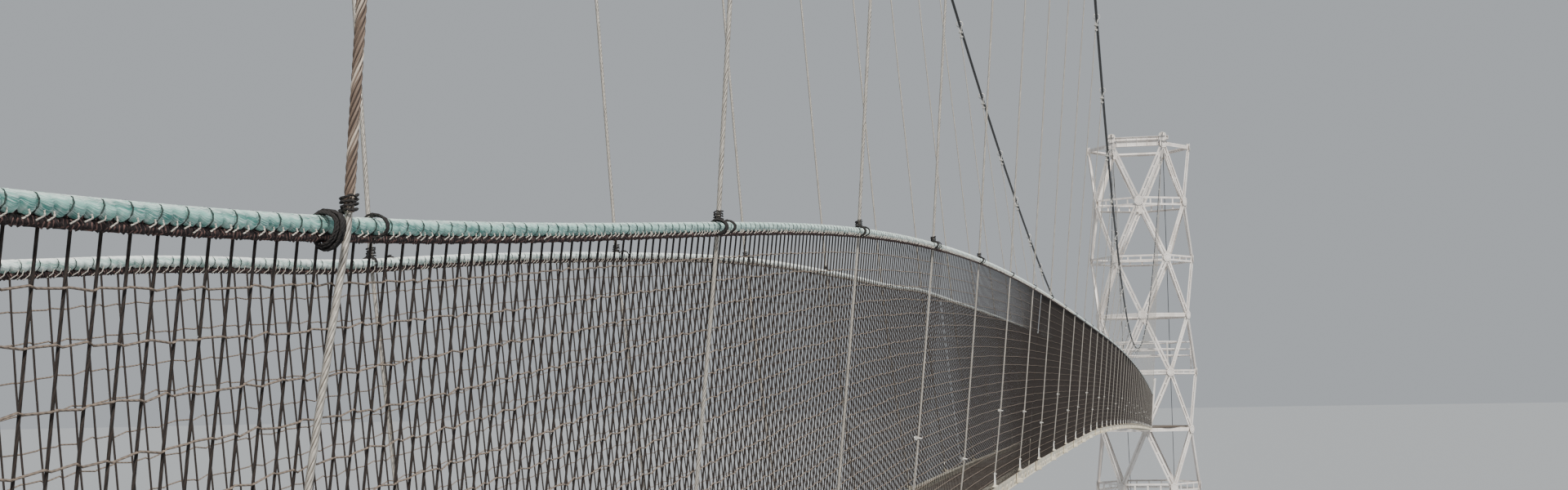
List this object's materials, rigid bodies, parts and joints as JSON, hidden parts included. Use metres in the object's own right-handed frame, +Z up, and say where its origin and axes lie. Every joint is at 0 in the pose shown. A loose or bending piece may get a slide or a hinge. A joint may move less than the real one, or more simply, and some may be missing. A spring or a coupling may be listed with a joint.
{
  "type": "rope suspension footbridge, 1:10 scale model",
  "caption": "Suspension footbridge at 1:10: two lattice towers, main cables with hangers, ladder deck, net sides and turquoise rope handrails.",
  "frame": {"origin": "on the ground under the middle of the span, at the centre of the bounding box's bottom", "axes": "+X along the walkway from the near tower to the far tower, +Y to the left hand of a person walking that way, +Z up"},
  "size_m": [12.08, 0.464, 1.9418],
  "materials": {
    "paint": "satin",
    "aluminium": "satin",
    "timber": "matte",
    "cable": "satin",
    "rope": "matte",
    "netting": "matte",
    "concrete": "matte"
  },
  "bodies": {
    "root": {"near_tower_lower_tier": "paint", "near_tower_middle_tier": "paint", "near_tower_upper_tier": "paint", "near_tower_top_beam": "paint", "near_left_saddle": "paint", "near_right_saddle": "paint", "near_landing": "timber", "near_end_frame": "paint", "near_anchor_block": "concrete", "far_tower_lower_tier": "paint", "far_tower_middle_tier": "paint", "far_tower_upper_tier": "paint", "far_tower_top_beam": "paint", "far_left_saddle": "paint", "far_right_saddle": "paint", "far_landing": "timber", "far_end_frame": "paint", "far_anchor_block": "concrete", "deck_section_1": "aluminium", "deck_plank_1": "timber", "deck_section_2": "aluminium", "deck_plank_2": "timber", "deck_section_3": "aluminium", "deck_plank_3": "timber", "deck_section_4": "aluminium", "deck_plank_4": "timber", "deck_section_5": "aluminium", "deck_plank_5": "timber", "left_net_panel_1": "netting", "left_net_panel_2": "netting", "left_net_panel_3": "netting", "left_net_panel_4": "netting", "left_net_panel_5": "netting", "left_handrail_rope": "rope", "left_main_cable": "cable", "right_net_panel_1": "netting", "right_net_panel_2": "netting", "right_net_panel_3": "netting", "right_net_panel_4": "netting", "right_net_panel_5": "netting", "right_handrail_rope": "rope", "right_main_cable": "cable"}
  },
  "joints": []
}
